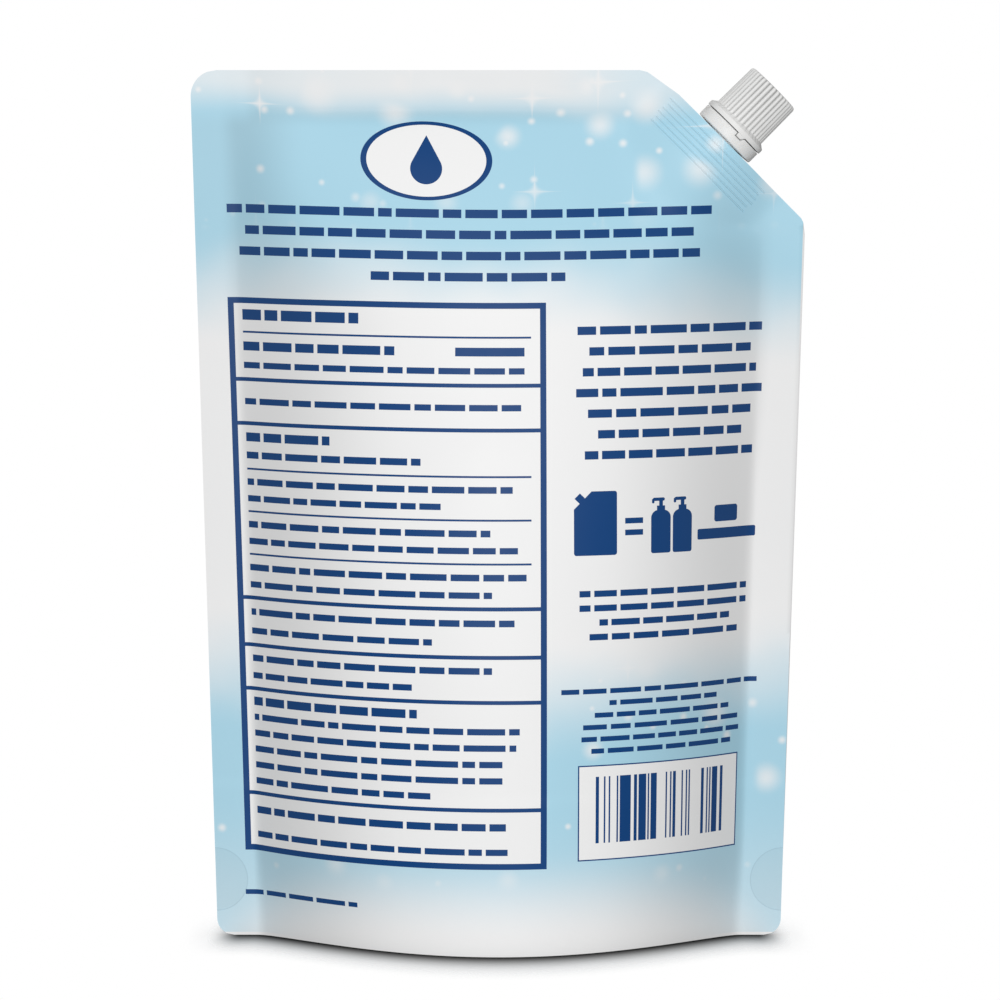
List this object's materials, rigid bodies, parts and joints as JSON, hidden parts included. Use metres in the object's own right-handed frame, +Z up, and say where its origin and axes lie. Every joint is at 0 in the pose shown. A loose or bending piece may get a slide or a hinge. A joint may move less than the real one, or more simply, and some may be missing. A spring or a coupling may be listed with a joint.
{
  "type": "liquid soap refill pouch",
  "caption": "Stand-up film refill pouch for liquid soap, with flat sealed edges, a bottom gusset, and a welded spout with a tamper band and a ribbed screw cap on a cut corner.",
  "frame": {"origin": "centre of the pack's box on the surface it stands on", "axes": "+Z up; +X towards the spout's side; +Y from the printed front to the back"},
  "size_m": [0.1836, 0.065, 0.2636],
  "materials": {
    "printed_film": "satin laminated film, printed in pale blue and white",
    "white_moulding": "natural white moulded polyethylene",
    "white_cap": "white moulded polyethylene, satin"
  },
  "bodies": {
    "pack": {"pouch": "printed_film", "spout": "white_moulding"},
    "band": {"tamper_band": "white_cap"},
    "cap": {"screw_cap": "white_cap"}
  },
  "joints": [
    {"name": "cap_twist", "type": "hinge", "parent": "pack", "child": "band", "pos_m": [0.06711, 0, 0.24239], "axis": [0.7071, 0, 0.7071], "range_deg": [0, 630]},
    {"name": "cap_lift", "type": "slide", "parent": "band", "child": "cap", "axis": [0.7071, 0, 0.7071], "range_m": [0, 0.0053]}
  ],
  "couplings": [
    {"joint": "cap_lift", "follows": "cap_twist", "m_per_rad": 0.00047746}
  ]
}
